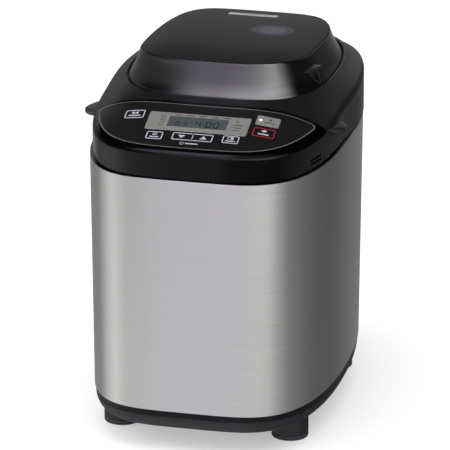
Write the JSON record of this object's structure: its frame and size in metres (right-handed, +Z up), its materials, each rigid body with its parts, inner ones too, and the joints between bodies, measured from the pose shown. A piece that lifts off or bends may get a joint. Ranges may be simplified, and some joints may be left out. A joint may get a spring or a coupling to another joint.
{
  "type": "bread machine",
  "caption": "Countertop bread machine: brushed steel body, sloped control panel with display and keys, domed dispenser lid on a hinged main lid, lift-out pan and belt-driven kneading blade.",
  "frame": {"origin": "centre of the bounding box on the surface that the feet stand on", "axes": "+Z up, the control panel and front face -Y, the lid hinge and rear cover face +Y, +X is the user's right"},
  "size_m": [0.264, 0.388, 0.3827],
  "materials": {
    "steel": "brushed, fine horizontal grain",
    "slate": "satin, fine grain",
    "foot_rubber": "matt",
    "gloss_black": "polished",
    "satin_black": "satin",
    "matt_black": "matt, fine texture",
    "silver": "satin silver paint",
    "capacitor_can": "plain",
    "display_glass": "clear over a grey-blue display",
    "dark_steel": "dark grey, satin",
    "aluminium": "plain",
    "brass": "turned",
    "circuit": "green lacquer",
    "nonstick": "dark non-stick coating, satin",
    "silicone": "soft, matt",
    "pale_grey": "matt"
  },
  "bodies": {
    "housing": {"steel_shell": "steel", "base_tray": "slate", "foot_front_left": "foot_rubber", "foot_front_right": "foot_rubber", "foot_rear_left": "foot_rubber", "foot_rear_right": "foot_rubber", "top_housing": "gloss_black", "control_panel": "satin_black", "display_bezel": "silver", "display_lens": "display_glass", "display_module": "dark_steel", "control_board": "circuit", "oven_chamber": "aluminium", "heater_element": "dark_steel", "temperature_sensor": "brass", "pan_mount": "aluminium", "chassis_plate": "dark_steel", "drive_bearing": "aluminium", "motor": "dark_steel", "capacitor": "capacitor_can", "power_board": "circuit", "rear_cover": "satin_black", "cord_inlet": "foot_rubber", "lid_hinge_pin_left": "steel", "lid_hinge_pin_right": "steel", "drive_belt": "foot_rubber"},
    "lid": {"lid_cover": "satin_black", "lid_lining": "aluminium", "lid_seal": "silicone", "ingredient_dispenser": "nonstick", "yeast_dispenser": "nonstick", "flap_solenoid": "dark_steel", "dispenser_lid_pin": "steel"},
    "dispenser_lid": {"dome_skirt": "gloss_black", "dome_cap": "matt_black", "finger_tab": "satin_black", "steam_vent": "pale_grey"},
    "dispenser_flap": {"dispenser_flap": "nonstick"},
    "yeast_flap": {"yeast_flap": "nonstick"},
    "drive": {"large_pulley": "dark_steel", "drive_shaft": "steel", "drive_dog": "dark_steel"},
    "motor_rotor": {"motor_pulley": "dark_steel", "motor_shaft": "steel"},
    "pan": {"bread_pan": "nonstick", "pan_flange": "aluminium"},
    "handle": {"pan_handle": "steel"},
    "blade": {"blade_shaft": "steel", "pan_coupling": "dark_steel", "kneading_blade": "nonstick"},
    "menu_key": {"menu_button": "satin_black"},
    "size_key": {"size_button": "satin_black"},
    "timer_down_key": {"timer_down_button": "satin_black"},
    "timer_up_key": {"timer_up_button": "satin_black"},
    "crust_key": {"crust_button": "satin_black"},
    "start_key": {"start_button": "silver"},
    "stop_key": {"stop_button": "satin_black"}
  },
  "joints": [
    {"name": "lid_hinge", "type": "hinge", "parent": "housing", "child": "lid", "pos_m": [0, 0.17, 0.292], "axis": [-1, 0, 0], "range_deg": [0, 95]},
    {"name": "dispenser_lid_hinge", "type": "hinge", "parent": "lid", "child": "dispenser_lid", "pos_m": [0, 0.1385, 0.3476], "axis": [-1, 0, 0], "range_deg": [0, 80]},
    {"name": "dispenser_flap_hinge", "type": "hinge", "parent": "lid", "child": "dispenser_flap", "pos_m": [-0.0585, 0.0135, 0.2905], "axis": [0, 1, 0], "range_deg": [0, 75], "stiffness_Nm_per_rad": 0.03, "springref_deg": -34.38},
    {"name": "yeast_flap_hinge", "type": "hinge", "parent": "lid", "child": "yeast_flap", "pos_m": [0.0615, -0.004, 0.2905], "axis": [0, -1, 0], "range_deg": [0, 75], "stiffness_Nm_per_rad": 0.01, "springref_deg": -34.38},
    {"name": "drive_spin", "type": "hinge", "parent": "housing", "child": "drive", "pos_m": [0, 0.021, 0.06], "axis": [0, 0, 1], "continuous": true},
    {"name": "motor_spin", "type": "hinge", "parent": "housing", "child": "motor_rotor", "pos_m": [-0.045, -0.134, 0.06], "axis": [0, 0, 1], "continuous": true},
    {"name": "pan_twist", "type": "hinge", "parent": "housing", "child": "pan", "pos_m": [0, 0.021, 0.1], "axis": [0, 0, 1], "range_deg": [0, 8]},
    {"name": "pan_handle_swing", "type": "hinge", "parent": "pan", "child": "handle", "pos_m": [0, 0.021, 0.256], "axis": [1, 0, 0], "range_deg": [0, 10]},
    {"name": "blade_spin", "type": "hinge", "parent": "pan", "child": "blade", "pos_m": [0, 0.021, 0.12], "axis": [0, 0, 1], "continuous": true},
    {"name": "menu_press", "type": "slide", "parent": "housing", "child": "menu_key", "axis": [0, 0.3337, -0.9427], "range_m": [0, 0.001], "stiffness_N_per_m": 600},
    {"name": "size_press", "type": "slide", "parent": "housing", "child": "size_key", "axis": [0, 0.3337, -0.9427], "range_m": [0, 0.001], "stiffness_N_per_m": 600},
    {"name": "timer_down_press", "type": "slide", "parent": "housing", "child": "timer_down_key", "axis": [0, 0.3337, -0.9427], "range_m": [0, 0.001], "stiffness_N_per_m": 600},
    {"name": "timer_up_press", "type": "slide", "parent": "housing", "child": "timer_up_key", "axis": [0, 0.3337, -0.9427], "range_m": [0, 0.001], "stiffness_N_per_m": 600},
    {"name": "crust_press", "type": "slide", "parent": "housing", "child": "crust_key", "axis": [0, 0.3337, -0.9427], "range_m": [0, 0.001], "stiffness_N_per_m": 600},
    {"name": "start_press", "type": "slide", "parent": "housing", "child": "start_key", "axis": [0, 0.3337, -0.9427], "range_m": [0, 0.001], "stiffness_N_per_m": 600},
    {"name": "stop_press", "type": "slide", "parent": "housing", "child": "stop_key", "axis": [0, 0.3337, -0.9427], "range_m": [0, 0.001], "stiffness_N_per_m": 600}
  ],
  "couplings": [
    {"joint": "motor_spin", "follows": "drive_spin", "ratio": 5.946},
    {"joint": "blade_spin", "follows": "drive_spin", "ratio": 1}
  ]
}
